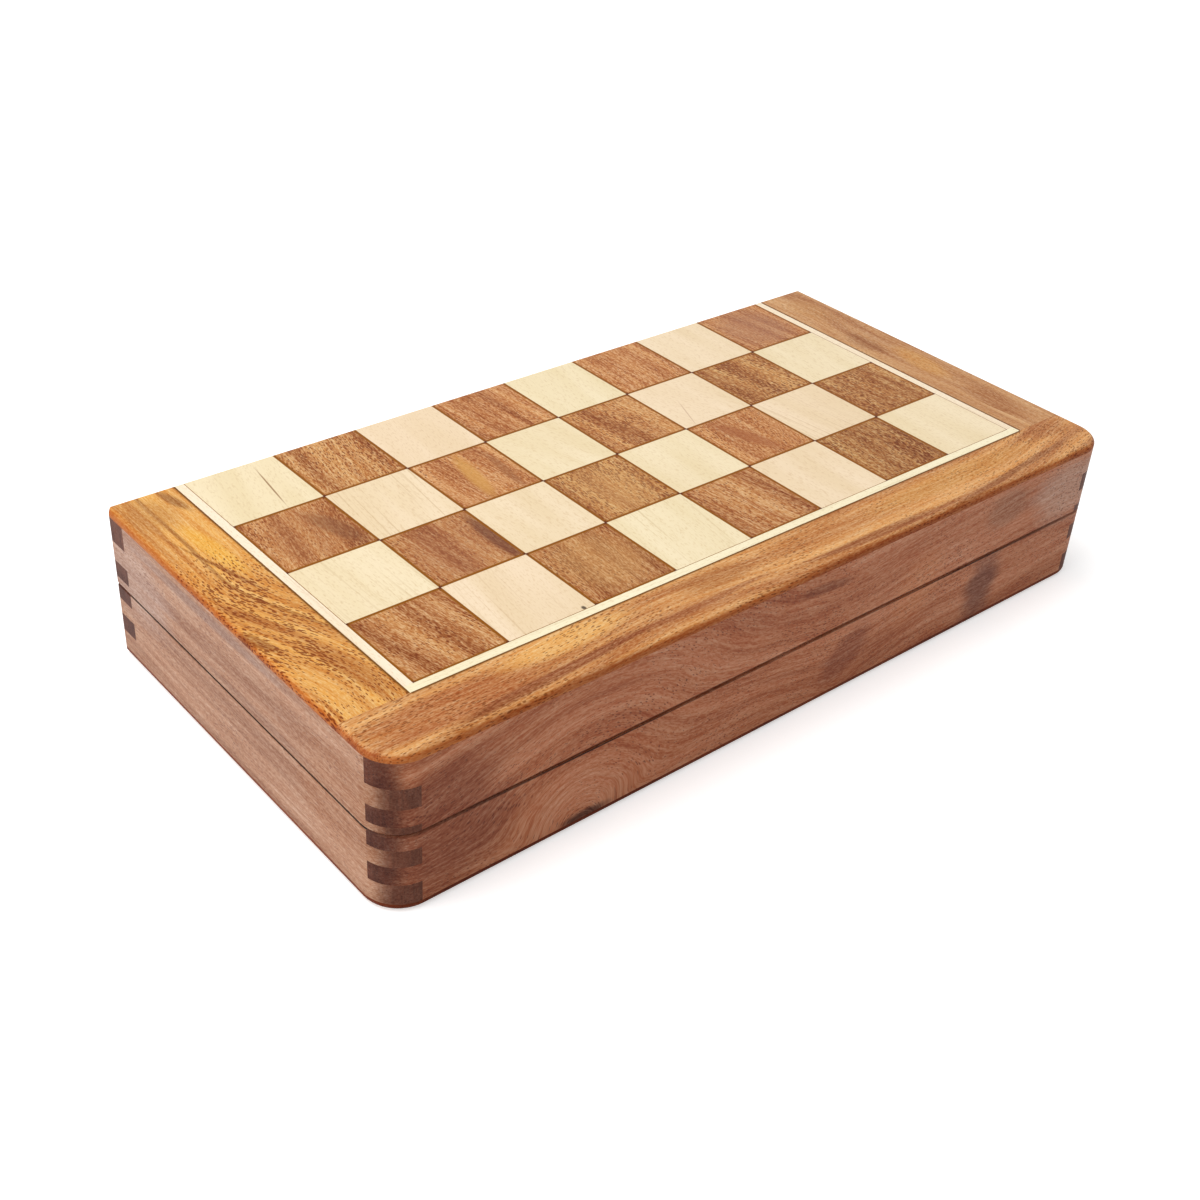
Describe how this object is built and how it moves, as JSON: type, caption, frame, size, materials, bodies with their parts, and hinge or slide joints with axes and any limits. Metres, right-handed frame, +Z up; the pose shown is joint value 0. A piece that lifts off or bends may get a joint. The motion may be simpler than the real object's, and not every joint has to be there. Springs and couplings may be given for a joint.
{
  "type": "travel chess set",
  "caption": "Folding wooden box whose outer faces make a chess board when it is opened flat, with magnetic chessmen lying in foam slots inside.",
  "frame": {"origin": "centre of the wooden box's bottom face, which is the base's half of the board, with the box shut (hinge barrels left out)", "axes": "+X along the box's length, +Y from the opening side to the hinge side, +Z up through the lid"},
  "size_m": [0.254, 0.1287, 0.045],
  "materials": {
    "sheesham_wall": "satin",
    "sheesham_border": "satin",
    "sheesham_square": "satin",
    "maple_square": "satin",
    "maple_stringing": "satin",
    "plywood": "matt",
    "steel_sheet": "satin",
    "flocked_foam": "flocked",
    "brass_hinge": "polished",
    "brass_screw": "polished",
    "steel_pin": "drawn",
    "plated_magnet": "plated",
    "felt": "felted",
    "boxwood_man": "polished",
    "rosewood_man": "polished"
  },
  "bodies": {
    "base": {"base_back_wall": "sheesham_wall", "base_closure_magnets": "plated_magnet", "base_dark_squares": "sheesham_square", "base_foam_insert": "flocked_foam", "base_front_border": "sheesham_border", "base_front_stringing": "maple_stringing", "base_front_wall": "sheesham_wall", "base_hinge_leaves": "brass_hinge", "base_hinge_screws": "brass_screw", "base_left_border": "sheesham_border", "base_left_wall": "sheesham_wall", "base_light_squares": "maple_square", "base_plywood_panel": "plywood", "base_right_border": "sheesham_border", "base_right_wall": "sheesham_wall", "base_side_stringing": "maple_stringing", "base_steel_sheet": "steel_sheet", "hinge_pins": "steel_pin", "white_bishop_1": "boxwood_man", "white_bishop_2": "boxwood_man", "white_felt_pads": "felt", "white_king": "boxwood_man", "white_knight_1": "boxwood_man", "white_knight_2": "boxwood_man", "white_pawns": "boxwood_man", "white_piece_magnets": "plated_magnet", "white_queen": "boxwood_man", "white_rook_1": "boxwood_man", "white_rook_2": "boxwood_man"},
    "lid": {"black_bishop_1": "rosewood_man", "black_bishop_2": "rosewood_man", "black_felt_pads": "felt", "black_king": "rosewood_man", "black_knight_1": "rosewood_man", "black_knight_2": "rosewood_man", "black_pawns": "rosewood_man", "black_piece_magnets": "plated_magnet", "black_queen": "rosewood_man", "black_rook_1": "rosewood_man", "black_rook_2": "rosewood_man", "lid_back_wall": "sheesham_wall", "lid_closure_magnets": "plated_magnet", "lid_dark_squares": "sheesham_square", "lid_foam_insert": "flocked_foam", "lid_front_border": "sheesham_border", "lid_front_stringing": "maple_stringing", "lid_front_wall": "sheesham_wall", "lid_hinge_leaves": "brass_hinge", "lid_hinge_screws": "brass_screw", "lid_left_border": "sheesham_border", "lid_left_wall": "sheesham_wall", "lid_light_squares": "maple_square", "lid_plywood_panel": "plywood", "lid_right_border": "sheesham_border", "lid_right_wall": "sheesham_wall", "lid_side_stringing": "maple_stringing", "lid_steel_sheet": "steel_sheet"}
  },
  "joints": [
    {"name": "lid_hinge", "type": "hinge", "parent": "base", "child": "lid", "pos_m": [0, 0.06365, 0.0225], "axis": [-1, 0, 0], "range_deg": [0, 180]}
  ]
}
